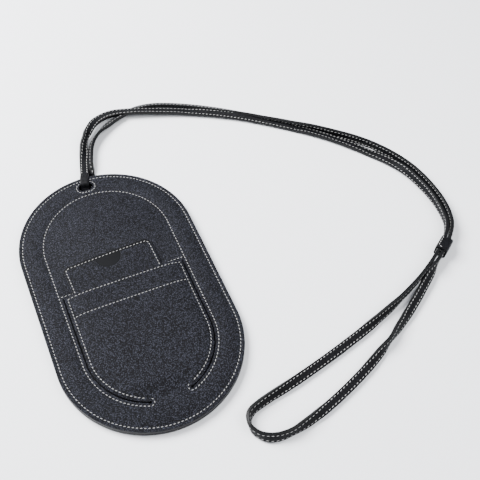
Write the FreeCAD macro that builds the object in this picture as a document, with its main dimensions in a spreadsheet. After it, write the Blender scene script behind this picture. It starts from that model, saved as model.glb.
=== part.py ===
"""Neck pouch wallet: a flat leather phone pouch with a cut-out pocket tongue, a card holder that
slides in its mouth, a flat neck strap through a slot, and a keeper that slides on the doubled strap.

Frame: origin under the middle of the pouch on the surface that it lies on, +Y towards the strap
slot, +Z out of the front face. Millimetres and degrees.
"""
import FreeCAD, Part
import math
import os
import Sketcher
from FreeCAD import Placement, Rotation, Vector

os.makedirs("parts", exist_ok=True)
doc = FreeCAD.newDocument("neck_pouch_wallet")

# ---------------------------------------------------------------- driving dimensions
SIZES = [
    # the flat body of the pouch, a rectangle with half-round ends
    ("pouch_width", 112.8),
    ("pouch_length", 191.4),
    ("back_skin", 1.4),
    ("board", 0.6),
    ("back_liner", 0.9),
    ("front_liner", 0.7),
    ("front_skin", 1.4),
    ("board_inset", 5.0),
    # the cut that frees the tongue from the front
    ("slit_radius", 38.7),
    ("slit_gap", 0.8),
    ("slit_end_angle", 19.0),
    ("pocket_depth", 83.0),
    ("hinge_gap", 0.3),
    ("ramp_length", 9.0),
    ("facing_depth", 17.0),
    ("facing_skin", 0.4),
    # stitching
    ("seam_margin", 2.4),
    ("cut_margin", 1.9),
    ("slot_margin", 1.3),
    ("thread_width", 0.5),
    ("thread_height", 0.15),
    # the slot that the strap goes through
    ("slot_inset", 8.2),
    ("slot_length", 9.8),
    ("slot_width", 5.8),
    # the card holder
    ("holder_width", 58.0),
    ("holder_length", 89.0),
    ("holder_leaf", 0.7),
    ("holder_corner", 3.5),
    ("holder_peek", 22.0),
    ("holder_shift", -4.4),
    ("holder_turn", 2.5),
    ("holder_push_in", 4.0),
    ("holder_seam", 1.5),
    ("front_leaf_drop", 2.8),
    ("notch_radius", 8.4),
    # the strap, two strips of leather back to back, and its keeper
    ("strap_width", 6.0),
    ("strip_thickness", 1.1),
    ("tab_width", 5.6),
    ("tab_thickness", 1.1),
    ("tab_length", 13.0),
    ("strand_spacing", 2.8),
    ("keeper_length", 10.5),
    ("keeper_skin", 1.2),
    ("keeper_x", 200.4),
    ("keeper_y", -47.5),
    ("keeper_heading", 214.0),
    # clearances
    ("slide_gap", 0.15),
    ("floor_gap", 0.1),
    ("strap_play", 0.3),
]
sheet = doc.addObject("Spreadsheet::Sheet", "sizes")
for row, (alias, value) in enumerate(SIZES, start=1):
    sheet.set(f"A{row}", alias)
    sheet.set(f"B{row}", str(value))
    sheet.setAlias(f"B{row}", alias)
doc.recompute()


def size(alias):
    return float(sheet.get(alias))


# ---------------------------------------------------------------- shared places, as formulas
OUTLINE = "sizes.pouch_width / 2"
END_AT = "(sizes.pouch_length - sizes.pouch_width) / 2"
BOARD_AT = "sizes.back_skin"
BACK_LINER_AT = f"{BOARD_AT} + sizes.board"
POCKET_FLOOR = f"{BACK_LINER_AT} + sizes.back_liner"
FRONT_SKIN_AT = f"{POCKET_FLOOR} + sizes.front_liner"
TOP = f"{FRONT_SKIN_AT} + sizes.front_skin"
SLIT_OUT = "sizes.slit_radius + sizes.slit_gap / 2"
HINGE_AT = f"-({END_AT}) - sizes.slit_radius * cos(sizes.slit_end_angle)"
MOUTH_AT = f"{HINGE_AT} + sizes.pocket_depth"
SLOT_AT = "sizes.pouch_length / 2 - sizes.slot_inset"
HALF_THREAD = "sizes.thread_width / 2"

end_at = (size("pouch_length") - size("pouch_width")) / 2
pocket_floor = size("back_skin") + size("board") + size("back_liner")
top = pocket_floor + size("front_liner") + size("front_skin")
hinge_at = -end_at - size("slit_radius") * math.cos(math.radians(size("slit_end_angle")))
mouth_at = hinge_at + size("pocket_depth")
tongue_edge = mouth_at - size("slit_gap") / 2
slit_in = size("slit_radius") - size("slit_gap") / 2
NODES = []


def make(kind, name, **formulas):
    """Adds an object and binds its properties; x, y and z are its place."""
    thing = doc.addObject(kind, name)
    for prop, formula in formulas.items():
        prop = f"Placement.Base.{prop}" if prop in "xyz" else prop
        thing.setExpression(prop, str(formula))
    return thing


def boolean(kind, name, first, *others):
    """Part::Cut takes others from first; the multi kinds join or intersect them all."""
    thing = doc.addObject(kind, name)
    if kind == "Part::Cut":
        thing.Base = first
        thing.Tool = others[0] if len(others) == 1 else boolean("Part::MultiFuse", name + "_tools", *others)
    else:
        thing.Shapes = [first, *others]
    return thing


def node(thing, label):
    """Names a finished sub-part, which is then written to a file of that name."""
    thing.Label = label
    NODES.append(thing)
    return thing


def shape_node(label, shape, placement=Placement()):
    """A sub-part whose shape is worked out below, put in its place."""
    thing = doc.addObject("Part::Feature", label)
    thing.Shape = shape
    thing.Placement = placement
    return node(thing, label)


def stadium(name, radius, bottom, height):
    """A plate with straight sides and half-round ends about the pouch's two end centres."""
    middle = make("Part::Box", name + "_middle", Length=f"2 * ({radius})", Width=f"2 * ({END_AT})",
                  Height=height, x=f"-({radius})", y=f"-({END_AT})", z=bottom)
    ends = [make("Part::Cylinder", f"{name}_{side}", Radius=radius, Height=height,
                 y=f"{sign}({END_AT})", z=bottom) for side, sign in (("low", "-"), ("high", ""))]
    return boolean("Part::MultiFuse", name, middle, *ends)


def slot_shape(name, grow, bottom, height):
    """The strap slot's outline grown by a margin, its long side across the pouch."""
    half = "(sizes.slot_length - sizes.slot_width) / 2"
    middle = make("Part::Box", name + "_middle", Length=f"2 * ({half})",
                  Width=f"sizes.slot_width + 2 * ({grow})", Height=height,
                  x=f"-({half})", y=f"{SLOT_AT} - sizes.slot_width / 2 - ({grow})", z=bottom)
    ends = [make("Part::Cylinder", f"{name}_{side}", Radius=f"sizes.slot_width / 2 + ({grow})",
                 Height=height, x=f"{sign}({half})", y=SLOT_AT, z=bottom)
            for side, sign in (("left", "-"), ("right", ""))]
    return boolean("Part::MultiFuse", name, middle, *ends)


def band(name, low, high, bottom, height):
    """A slab across the pouch from y = low to y = high, wider than the pouch."""
    return make("Part::Box", name, Length="2 * sizes.pouch_width", Width=f"({high}) - ({low})",
                Height=height, x="-sizes.pouch_width", y=low, z=bottom)


def pocket_opening(name, bottom, height):
    """The hole in the front that the tongue fills: inside the slits, up to the mouth."""
    inside = stadium(name + "_inside", SLIT_OUT, bottom, height)
    window = band(name + "_window", f"{HINGE_AT} - sizes.hinge_gap / 2",
                  f"{MOUTH_AT} + sizes.slit_gap / 2", bottom, height)
    return boolean("Part::MultiCommon", name, inside, window)


# ---------------------------------------------------------------- the strap's route
# Centre line of the flat strap, which stands on its edge: out of the slot over the front, round to
# the keeper, round the end loop, back through the keeper and under the pouch to the slot again.
STRAP_POINTS = [
    (3.1, 101.4, 3.3), (6.9, 116.6, 3.3), (12.3, 130.5, 3.1), (22.5, 143.5, 3.1), (38.5, 150.5, 3.1),
    (60.0, 150.5, 3.1), (90.0, 140.0, 3.1), (122.0, 120.0, 3.1), (152.0, 98.0, 3.1),
    (180.0, 75.5, 3.1), (204.0, 54.0, 3.1), (221.5, 28.0, 3.1), (225.0, 2.0, 3.1),
    (221.0, -21.5, 3.8), (212.8, -40.9, 4.7), (181.3, -62.1, 4.7), (160.0, -77.5, 3.5),
    (133.0, -94.0, 3.1), (107.0, -106.5, 3.1), (80.0, -116.5, 3.1), (57.0, -122.5, 3.1),
    (41.5, -122.0, 3.1), (33.0, -113.0, 3.1), (35.0, -103.0, 3.1), (46.0, -99.5, 3.1),
    (70.0, -95.0, 3.1), (104.0, -86.5, 3.1), (134.0, -78.0, 3.1), (158.0, -69.5, 3.5),
    (179.7, -59.7, 4.7), (211.2, -38.5, 4.7), (216.5, -20.0, 3.8), (217.8, 0.0, 3.1),
    (211.0, 26.0, 3.1), (197.0, 45.0, 3.1), (174.0, 72.0, 3.1), (148.0, 94.0, 3.1),
    (117.0, 114.5, 3.1), (89.0, 131.0, 3.1), (64.0, 143.0, 3.1), (45.0, 144.0, 3.1),
    (28.0, 137.5, 3.1), (18.0, 126.5, 3.1), (12.6, 112.8, 3.1), (6.6, 100.2, 3.1),
]
ROUTE = [Vector(*point) for point in STRAP_POINTS]


def strap_path():
    """Straight runs joined by tangent arcs, each as large as its two runs allow."""
    edges = []
    here = ROUTE[0]
    for before, corner, after in zip(ROUTE, ROUTE[1:], ROUTE[2:]):
        run_in, run_out = corner - before, after - corner
        turn = run_in.getAngle(run_out)
        cut = 0.45 * min(run_in.Length, run_out.Length)
        radius = cut / math.tan(turn / 2)
        way_in, way_out = Vector(run_in).normalize(), Vector(run_out).normalize()
        start, finish = corner - way_in * cut, corner + way_out * cut
        inward = (way_out - way_in).normalize()
        middle = corner + inward * (radius / math.cos(turn / 2) - radius)
        edges += [Part.LineSegment(here, start).toShape(), Part.Arc(start, middle, finish).toShape()]
        here = finish
        print(f"strap radius at ({corner.x:.0f}, {corner.y:.0f}): {radius:.1f} mm, "
              f"turn {math.degrees(turn):.0f} deg, runs {run_in.Length:.0f} and {run_out.Length:.0f} mm")
    edges.append(Part.LineSegment(here, ROUTE[-1]).toShape())
    return Part.Wire(edges)


def strap_strip(label, path, inner, outer):
    """One leather strip of the strap, from inner to outer off the centre line, on its edge."""
    way = (ROUTE[1] - ROUTE[0]).normalize()
    side = way.cross(Vector(0, 0, 1)).normalize()
    rise = side.cross(way).normalize() * (size("strap_width") / 2)
    start = ROUTE[0]
    corners = [start + side * inner - rise, start + side * outer - rise,
               start + side * outer + rise, start + side * inner + rise]
    profile = Part.makePolygon(corners + corners[:1])
    sweep = Part.BRepOffsetAPI.MakePipeShell(path)
    sweep.setBiNormalMode(Vector(0, 0, 1))
    sweep.add(profile)
    sweep.build()
    sweep.makeSolid()
    strip = sweep.shape()
    expected = size("strap_width") * abs(outer - inner) * path.Length
    print(f"{label}: length {path.Length:.1f} mm, volume {strip.Volume:.0f} mm3, "
          f"section x length {expected:.0f} mm3")
    return shape_node(label, strip)


def flat_leg(tip, towards, bottom):
    """A flat leg of the strap's end tab, from its tip back towards the slot."""
    way = Vector(towards.x, towards.y, 0).normalize()
    leg = Part.makeBox(size("tab_length"), size("tab_width"), size("tab_thickness"),
                       Vector(0, -size("tab_width") / 2, 0))
    leg.Placement = Placement(Vector(tip.x, tip.y, bottom), Rotation(Vector(1, 0, 0), way))
    return leg


# ================================================================ the pouch
# back_panel: the outer leather of the back, slotted for the strap, with a channel from the slot to
# the edge that takes the strap's thin tab, so that the pouch lies flat on it.
back_leg_way = (ROUTE[-1] - ROUTE[-2]).normalize()
channel_width = size("tab_width") + 2 * size("strap_play")
channel = doc.addObject("Part::Box", "strap_channel")
channel.setExpression("Length", "sizes.tab_length + 2 * sizes.strap_width")
channel.setExpression("Width", "sizes.tab_width + 2 * sizes.strap_play")
channel.setExpression("Height", "sizes.back_skin")
channel_turn = Rotation(Vector(1, 0, 0), Vector(back_leg_way.x, back_leg_way.y, 0))
channel_corner = channel_turn.multVec(Vector(-size("strap_width"), -channel_width / 2, 0))
channel.Placement = Placement(Vector(ROUTE[-1].x, ROUTE[-1].y, 0) + channel_corner, channel_turn)
node(boolean("Part::Cut", "back_cut", stadium("back_plate", OUTLINE, "0", "sizes.back_skin"),
             slot_shape("back_slot", "0", "0", "sizes.back_skin"), channel), "back_panel")

# back_stiffener: a thin board that keeps the pouch flat, short of the edge so that it never shows.
BOARD_SLOT = "sizes.slot_margin + sizes.strap_play"
node(boolean("Part::Cut", "board_cut",
             stadium("board_plate", f"{OUTLINE} - sizes.board_inset", BOARD_AT, "sizes.board"),
             slot_shape("board_slot", BOARD_SLOT, BOARD_AT, "sizes.board")), "back_stiffener")

# back_edge_filler: the leather ring round the board, flush with the edge.
node(boolean("Part::Cut", "filler_cut", stadium("filler_plate", OUTLINE, BOARD_AT, "sizes.board"),
             stadium("filler_hole", f"{OUTLINE} - sizes.board_inset", BOARD_AT, "sizes.board"),
             slot_shape("filler_slot", BOARD_SLOT, BOARD_AT, "sizes.board")), "back_edge_filler")

# back_lining: the leather that lines the pocket behind the tongue.
node(boolean("Part::Cut", "back_lining_cut",
             stadium("back_lining_plate", OUTLINE, BACK_LINER_AT, "sizes.back_liner"),
             slot_shape("back_lining_slot", "0", BACK_LINER_AT, "sizes.back_liner")), "back_lining")

# front_lining and front_panel: the lined leather of the front, open where the tongue is cut free.
node(boolean("Part::Cut", "front_lining_cut",
             stadium("front_lining_plate", OUTLINE, POCKET_FLOOR, "sizes.front_liner"),
             pocket_opening("lining_opening", POCKET_FLOOR, "sizes.front_liner"),
             slot_shape("front_lining_slot", "0", POCKET_FLOOR, "sizes.front_liner")),
     "front_lining")
node(boolean("Part::Cut", "front_cut",
             stadium("front_plate", OUTLINE, FRONT_SKIN_AT, "sizes.front_skin"),
             pocket_opening("front_opening", FRONT_SKIN_AT, "sizes.front_skin"),
             slot_shape("front_slot", "0", FRONT_SKIN_AT, "sizes.front_skin")), "front_panel")


# The threads lie on the front face as thin raised lines along their stitch rows.
def stitched_ring(name, radius):
    """A line of thread round a stadium of that radius."""
    outer = stadium(name + "_outer", f"{radius} + {HALF_THREAD}", TOP, "sizes.thread_height")
    inner = stadium(name + "_inner", f"{radius} - {HALF_THREAD}", TOP, "sizes.thread_height")
    return boolean("Part::Cut", name, outer, inner)


# perimeter_stitching: the row that closes the edge of the pouch, under the tab where that crosses it.
node(stitched_ring("perimeter_row", f"{OUTLINE} - sizes.seam_margin"), "perimeter_stitching")

# pocket_outline_stitching: one row from slit end to slit end, up beside the slits and over the arch.
OUTLINE_ROW = f"{SLIT_OUT} + sizes.cut_margin"
bridge = make("Part::Box", "bridge_window", Length=f"2 * ({SLIT_OUT}) * sin(sizes.slit_end_angle)",
              Width="sizes.pouch_length / 2", Height="sizes.thread_height",
              x=f"-({SLIT_OUT}) * sin(sizes.slit_end_angle)", y="-sizes.pouch_length / 2", z=TOP)
node(boolean("Part::Cut", "outline_cut", stitched_ring("outline_row", OUTLINE_ROW), bridge),
     "pocket_outline_stitching")

# mouth_edge_stitching: the row along the cut edge above the mouth, between the side rows.
MOUTH_ROW = f"{MOUTH_AT} + sizes.slit_gap / 2 + sizes.cut_margin"
node(make("Part::Box", "mouth_row", Length=f"2 * ({OUTLINE_ROW} - {HALF_THREAD})",
          Width="sizes.thread_width", Height="sizes.thread_height",
          x=f"-({OUTLINE_ROW} - {HALF_THREAD})", y=f"{MOUTH_ROW} - {HALF_THREAD}", z=TOP),
     "mouth_edge_stitching")

# slot_stitching: the small oval row round the strap slot.
node(boolean("Part::Cut", "slot_row",
             slot_shape("slot_row_outer", f"sizes.slot_margin + {HALF_THREAD}", TOP,
                        "sizes.thread_height"),
             slot_shape("slot_row_inner", f"sizes.slot_margin - {HALF_THREAD}", TOP,
                        "sizes.thread_height")), "slot_stitching")


# ================================================================ the card holder
# Three leaves lie in a plane that climbs from the pocket's floor over the cut edge of the mouth.
leaf = size("holder_leaf")
mouth_sill = mouth_at + size("slit_gap") / 2
holder_top = mouth_at + size("holder_peek")
sill_height = top + size("thread_height") + size("floor_gap")
deepest = holder_top - size("holder_length") - size("holder_push_in")
pitch = math.degrees(math.atan((sill_height - pocket_floor - size("floor_gap"))
                               / (mouth_sill - deepest)))
holder_turn = (Rotation(Vector(0, 0, 1), size("holder_turn"))
               * Rotation(Vector(1, 0, 0), pitch))
rise_at_top = (holder_top - mouth_sill) * math.tan(math.radians(pitch))
holder_place = Vector(size("holder_shift"), holder_top, sill_height + rise_at_top)


def holder_leaf(label, drop, level, notched):
    """A leaf with its top edge drop below the holder's top, its corners rounded, a thumb notch."""
    body = doc.addObject("PartDesign::Body", label + "_body")
    plane = next(f for f in body.Origin.OriginFeatures if f.Role == "XY_Plane")
    outline = body.newObject("Sketcher::SketchObject", label + "_outline")
    outline.AttachmentSupport = [(plane, "")]
    outline.MapMode = "FlatFace"
    half, high, low = size("holder_width") / 2, -drop, -size("holder_length")
    corners = [Vector(-half, low, 0), Vector(half, low, 0), Vector(half, high, 0), Vector(-half, high, 0)]
    for start, finish in zip(corners, corners[1:] + corners[:1]):
        outline.addGeometry(Part.LineSegment(start, finish))
    for side in range(4):
        outline.addConstraint(Sketcher.Constraint("Coincident", side, 2, (side + 1) % 4, 1))
    for side, way in ((1, "Vertical"), (2, "Horizontal"), (3, "Vertical")):
        outline.addConstraint(Sketcher.Constraint(way, side))
    outline.addConstraint(Sketcher.Constraint("Symmetric", 0, 1, 0, 2, -2))
    wide = outline.addConstraint(Sketcher.Constraint("Distance", 0, size("holder_width")))
    tall = outline.addConstraint(Sketcher.Constraint("Distance", 1, high - low))
    foot = outline.addConstraint(Sketcher.Constraint("DistanceY", 0, 1, -1, 1, -low))
    outline.setExpression(f"Constraints[{wide}]", "sizes.holder_width")
    drop_formula = "sizes.front_leaf_drop" if drop else "0"
    outline.setExpression(f"Constraints[{tall}]", f"sizes.holder_length - {drop_formula}")
    outline.setExpression(f"Constraints[{foot}]", "sizes.holder_length")
    pad = body.newObject("PartDesign::Pad", label + "_pad")
    pad.Profile = outline
    pad.setExpression("Length", "sizes.holder_leaf")
    doc.recompute()
    upright = [f"Edge{number}" for number, edge in enumerate(pad.Shape.Edges, start=1)
               if abs(edge.tangentAt(edge.FirstParameter).z) > 0.9]
    fillet = body.newObject("PartDesign::Fillet", label + "_corners")
    fillet.Base = (pad, upright)
    fillet.setExpression("Radius", "sizes.holder_corner")
    if notched:
        doc.recompute()
        thumb = body.newObject("Sketcher::SketchObject", label + "_thumb")
        thumb.AttachmentSupport = [(plane, "")]
        thumb.MapMode = "FlatFace"
        thumb.addGeometry(Part.Circle(Vector(0, high, 0), Vector(0, 0, 1), size("notch_radius")))
        thumb.addConstraint(Sketcher.Constraint("PointOnObject", 0, 3, -2))
        round_size = thumb.addConstraint(Sketcher.Constraint("Radius", 0, size("notch_radius")))
        depth = thumb.addConstraint(Sketcher.Constraint("DistanceY", 0, 3, -1, 1, drop))
        thumb.setExpression(f"Constraints[{round_size}]", "sizes.notch_radius")
        thumb.setExpression(f"Constraints[{depth}]", "sizes.front_leaf_drop")
        notch = body.newObject("PartDesign::Pocket", label + "_notch")
        notch.Profile = thumb
        notch.Type = "ThroughAll"
        notch.Midplane = True
    body.Placement = Placement(holder_place + holder_turn.multVec(Vector(0, 0, level)), holder_turn)
    return node(body, label)


# holder_back_leaf, holder_lining and holder_front_leaf: the cards go between the last two.
holder_leaf("holder_back_leaf", 0.0, 0.0, False)
holder_leaf("holder_lining", 0.0, leaf, False)
holder_leaf("holder_front_leaf", size("front_leaf_drop"), 2 * leaf, True)


# holder_stitching: down one side, round the foot and up the other, on the front leaf, and along the
# top of the lining.
def holder_rows():
    inset = size("holder_seam")
    half, width = size("holder_width") / 2 - inset, size("thread_width")
    foot = -size("holder_length") + inset
    side_top = -size("front_leaf_drop") - inset
    height, face = size("thread_height"), 3 * leaf
    side = Part.makeBox(width, side_top - foot, height, Vector(-half, foot, face))
    other = Part.makeBox(width, side_top - foot, height, Vector(half - width, foot, face))
    base = Part.makeBox(2 * half, width, height, Vector(-half, foot, face))
    head = Part.makeBox(2 * half, width, height, Vector(-half, -inset, 2 * leaf))
    return Part.makeCompound([side.multiFuse([other, base]), head])


shape_node("holder_stitching", holder_rows(), Placement(holder_place, holder_turn))


# ================================================================ the tongue
# The tongue hinges on the uncut bridge between the slit ends. It climbs steeply over the foot of the
# card holder and then lies just above it up to the mouth.
pitch_slope = math.tan(math.radians(pitch))


def above_holder(y):
    """Height of the card holder's thread tops in the pouch, with the sliding gap on it."""
    lean = size("holder_width") / 2 * math.tan(math.radians(size("holder_turn"))) * pitch_slope
    return (sill_height + (y - mouth_sill) * pitch_slope + lean
            + 3 * leaf + size("thread_height") + size("slide_gap"))


ramp_foot = hinge_at + size("hinge_gap") / 2
ramp_head = ramp_foot + size("ramp_length")
tongue_lift = size("facing_skin")


def tongue_layer(label, level, thickness, low_y, high_y, inset=0.0):
    """A layer of the tongue between two heights above its underside, cut to the tongue's outline."""
    def under(y):
        ramp_start = pocket_floor
        if y <= ramp_head:
            share = (y - ramp_foot) / (ramp_head - ramp_foot)
            return ramp_start + share * (above_holder(ramp_head) + tongue_lift - ramp_start)
        return above_holder(y) + tongue_lift
    stations = [low_y] + [ramp_head] * (low_y < ramp_head < high_y) + [high_y]
    lower = [Vector(-size("pouch_width"), y, under(y) + level) for y in stations]
    upper = [Vector(-size("pouch_width"), y, under(y) + level + thickness) for y in reversed(stations)]
    wall = Part.Face(Part.makePolygon(lower + upper + lower[:1]))
    slab = wall.extrude(Vector(2 * size("pouch_width"), 0, 0))
    radius = slit_in - inset
    tall = 10 * top
    plan = Part.makeBox(2 * radius, 2 * end_at, tall, Vector(-radius, -end_at, 0))
    plan = plan.multiFuse([Part.makeCylinder(radius, tall, Vector(0, sign * end_at, 0))
                           for sign in (-1, 1)])
    return slab.common(plan)


# mouth_facing: the thin leather strip under the tongue that stiffens the mouth's edge.
shape_node("mouth_facing", tongue_layer("mouth_facing", -size("facing_skin"), size("facing_skin"),
                                        tongue_edge - size("facing_depth"), tongue_edge))
# tongue_lining and pocket_tongue: the two leathers of the tongue, cut from the same sheets as the
# front's, and joined to them along the bridge.
shape_node("tongue_lining", tongue_layer("tongue_lining", 0, size("front_liner"),
                                         ramp_foot, tongue_edge))
shape_node("pocket_tongue", tongue_layer("pocket_tongue", size("front_liner"), size("front_skin"),
                                         ramp_foot, tongue_edge))

# tongue_stitching: one row round the tongue beside the slits and along the mouth.
tongue_top = size("front_liner") + size("front_skin")
row_out = size("cut_margin") - size("thread_width") / 2
row_in = size("cut_margin") + size("thread_width") / 2
bridge_half = slit_in * math.sin(math.radians(size("slit_end_angle")))
row_band = tongue_layer("row", tongue_top, size("thread_height"), ramp_foot, tongue_edge - row_out, row_out)
row_core = tongue_layer("core", tongue_top, size("thread_height"), ramp_foot, tongue_edge - row_in, row_in)
bridge_gap = Part.makeBox(2 * bridge_half, size("ramp_length"), 10 * top,
                          Vector(-bridge_half, hinge_at - size("ramp_length") / 2, 0))
shape_node("tongue_stitching", row_band.cut(row_core).cut(bridge_gap))

# facing_stitching: the second row across the tongue, which holds the facing's lower edge.
facing_row = tongue_edge - size("facing_depth") + size("cut_margin")
shape_node("facing_stitching", tongue_layer("facing_row", tongue_top, size("thread_height"), facing_row,
                                            facing_row + size("thread_width"), row_in))

# ================================================================ the strap
# strap_outer_leather and strap_inner_leather: two strips sewn back to back into one flat strap.
path = strap_path()
strap_strip("strap_outer_leather", path, -size("strip_thickness"), 0.0)
strap_strip("strap_inner_leather", path, 0.0, size("strip_thickness"))

# strap_tab: the single, unstitched end that goes over the front edge, down the slot and out through
# the back, and closes the strap into a ring.
front_leg_at = top + size("thread_height") + size("floor_gap") / 2
front_leg = flat_leg(ROUTE[0], ROUTE[0] - ROUTE[1], front_leg_at)
back_leg = flat_leg(ROUTE[-1], ROUTE[-1] - ROUTE[-2], size("floor_gap"))
slot_at = size("pouch_length") / 2 - size("slot_inset")
riser_at = slot_at + size("slot_width") / 2 - size("strap_play") - size("tab_thickness")
riser = Part.makeBox(size("tab_width"), size("tab_thickness"),
                     front_leg_at + size("tab_thickness") - size("floor_gap"),
                     Vector(-size("tab_width") / 2, riser_at, size("floor_gap")))
tab_window = Part.makeBox(size("pouch_width"), size("pouch_length"), 10 * top,
                          Vector(-size("pouch_width") / 2, riser_at, -top))
shape_node("strap_tab", riser.multiFuse([front_leg, back_leg]).common(tab_window))

# ================================================================ the keeper
# keeper_wrap: a leather sleeve round both strands, which slides to tighten the strap.
heading = Rotation(Vector(0, 0, 1), size("keeper_heading"))
keeper_middle = Vector(size("keeper_x"), size("keeper_y"), ROUTE[14].z)
inner_wide = size("strand_spacing") + 2 * size("strip_thickness") + 2 * size("strap_play")
inner_tall = size("strap_width") + 2 * size("strap_play")
INNER_WIDE = "sizes.strand_spacing + 2 * sizes.strip_thickness + 2 * sizes.strap_play"
INNER_TALL = "sizes.strap_width + 2 * sizes.strap_play"


def keeper_box(name, wall):
    """A block along the strap about the keeper's middle, wall thicker all round than the strands."""
    block = doc.addObject("Part::Box", name)
    block.setExpression("Length", "sizes.keeper_length")
    block.setExpression("Width", f"{INNER_WIDE} + 2 * ({wall})")
    block.setExpression("Height", f"{INNER_TALL} + 2 * ({wall})")
    thick = size("keeper_skin") if wall != "0" else 0.0
    corner = Vector(-size("keeper_length") / 2, -inner_wide / 2 - thick, -inner_tall / 2 - thick)
    block.Placement = Placement(keeper_middle + heading.multVec(corner), heading)
    return block


node(boolean("Part::Cut", "keeper_cut", keeper_box("keeper_block", "sizes.keeper_skin"),
             keeper_box("keeper_hole", "0")), "keeper_wrap")

# keeper_stitching: the short row that closes the sleeve, along its upper face.
keeper_top = inner_tall / 2 + size("keeper_skin")
row_length = size("keeper_length") - 2 * size("cut_margin")
keeper_row = Part.makeBox(row_length, size("thread_width"), size("thread_height"),
                          Vector(-row_length / 2, inner_wide / 2 - size("thread_width"), keeper_top))
shape_node("keeper_stitching", keeper_row, Placement(keeper_middle, heading))

# ---------------------------------------------------------------- checks and files
doc.recompute()
for thing in doc.Objects:
    if {"Invalid", "Error"} & set(thing.State):
        raise RuntimeError(f"{thing.Name} failed: {thing.State}")
for thing in NODES:
    if thing.Shape.isNull() or not thing.Shape.isValid() or not thing.Shape.Solids:
        raise RuntimeError(f"{thing.Label} has no valid shape")
for thing in NODES:
    thing.Shape.exportStep(f"parts/{thing.Label}.step")
    box = thing.Shape.BoundBox
    print(f"{thing.Label}: {thing.Shape.Volume:.0f} mm3, z {box.ZMin:.2f} to {box.ZMax:.2f}")
print(f"holder pitch {pitch:.3f} deg, hinge at y {hinge_at:.2f}, z {top:.2f}, "
      f"holder way {holder_turn.multVec(Vector(0, 1, 0))}")
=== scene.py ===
"""Neck pouch wallet: black pebbled leather, off-white saddle stitching, painted edges.

Metres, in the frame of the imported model. Its pieces are made here in the order of putting it
together, after the camera and the long strap.
"""
import math

import bmesh
import bpy
import numpy as np
from mathutils import Matrix, Vector


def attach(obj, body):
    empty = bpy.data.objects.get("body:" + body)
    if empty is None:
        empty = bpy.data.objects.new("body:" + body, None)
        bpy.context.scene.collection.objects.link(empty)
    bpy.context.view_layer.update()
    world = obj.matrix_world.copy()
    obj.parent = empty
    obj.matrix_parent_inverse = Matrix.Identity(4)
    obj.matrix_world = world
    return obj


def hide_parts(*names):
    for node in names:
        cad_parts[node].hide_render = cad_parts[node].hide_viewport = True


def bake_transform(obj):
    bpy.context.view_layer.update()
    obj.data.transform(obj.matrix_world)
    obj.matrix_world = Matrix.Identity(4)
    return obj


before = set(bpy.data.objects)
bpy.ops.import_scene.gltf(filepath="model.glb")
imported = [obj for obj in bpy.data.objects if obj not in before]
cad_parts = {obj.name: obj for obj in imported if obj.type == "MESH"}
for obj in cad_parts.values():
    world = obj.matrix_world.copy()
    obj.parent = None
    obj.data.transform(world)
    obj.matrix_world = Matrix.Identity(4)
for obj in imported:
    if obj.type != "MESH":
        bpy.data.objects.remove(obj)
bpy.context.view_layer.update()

# ------------------------------------------------------------------ camera
# Looks down on the pouch from beyond its foot, a little from its left, held slightly turned.
camera = bpy.data.objects.new("camera", bpy.data.cameras.new("camera"))
bpy.context.collection.objects.link(camera)
camera.data.lens, camera.data.sensor_width = 57.38, 36.0
camera.location = (-0.0508, -0.2507, 0.4101)
camera.rotation_euler = (0.61887, -0.03674, -0.41446)
bpy.context.scene.camera = camera

# ------------------------------------------------------------------ the strap
# Two 6 mm strips of calf glued back to back, sewn with two rows along their whole length and
# painted along the edges. It comes from under the pouch and passes under its own other end, which
# comes back over it after the round, twists, and ends over the front of the slot.
STRAP_ROUTE = [
    (0.0066, 0.1002, 0.0027), (0.0100, 0.1115, 0.0031), (0.0138, 0.1222, 0.0031),
    (0.0205, 0.1315, 0.0031), (0.0315, 0.1390, 0.0031), (0.0440, 0.1452, 0.0031),
    (0.0634, 0.1488, 0.0031), (0.0890, 0.1386, 0.0031), (0.1211, 0.1188, 0.0031),
    (0.1505, 0.0962, 0.0031), (0.1787, 0.0740, 0.0031), (0.2015, 0.0520, 0.0031),
    (0.2168, 0.0256, 0.0031), (0.2217, 0.0018, 0.0031), (0.2210, -0.0215, 0.0038),
    (0.2128, -0.0409, 0.0047), (0.1813, -0.0621, 0.0047), (0.1600, -0.0775, 0.0035),
    (0.1330, -0.0940, 0.0031), (0.1070, -0.1065, 0.0031), (0.0800, -0.1165, 0.0031),
    (0.0570, -0.1225, 0.0031), (0.0415, -0.1220, 0.0031), (0.0330, -0.1130, 0.0031),
    (0.0350, -0.1030, 0.0031), (0.0460, -0.0995, 0.0031), (0.0700, -0.0950, 0.0031),
    (0.1040, -0.0865, 0.0031), (0.1340, -0.0780, 0.0031), (0.1580, -0.0695, 0.0035),
    (0.1797, -0.0597, 0.0047), (0.2112, -0.0385, 0.0047), (0.2165, -0.0200, 0.0038),
    (0.2169, 0.0000, 0.0031), (0.2110, 0.0260, 0.0031), (0.1972, 0.0456, 0.0031),
    (0.1748, 0.0725, 0.0031), (0.1475, 0.0955, 0.0031), (0.1188, 0.1164, 0.0034),
    (0.0900, 0.1312, 0.0040), (0.0700, 0.1388, 0.0046), (0.0525, 0.1445, 0.0054),
    (0.0370, 0.1488, 0.0054), (0.0252, 0.1462, 0.0050), (0.0168, 0.1378, 0.0038),
    (0.0107, 0.1284, 0.0031), (0.0073, 0.1172, 0.0031), (0.0048, 0.1088, 0.0034),
    (0.0026, 0.0988, 0.0056),
]
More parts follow.
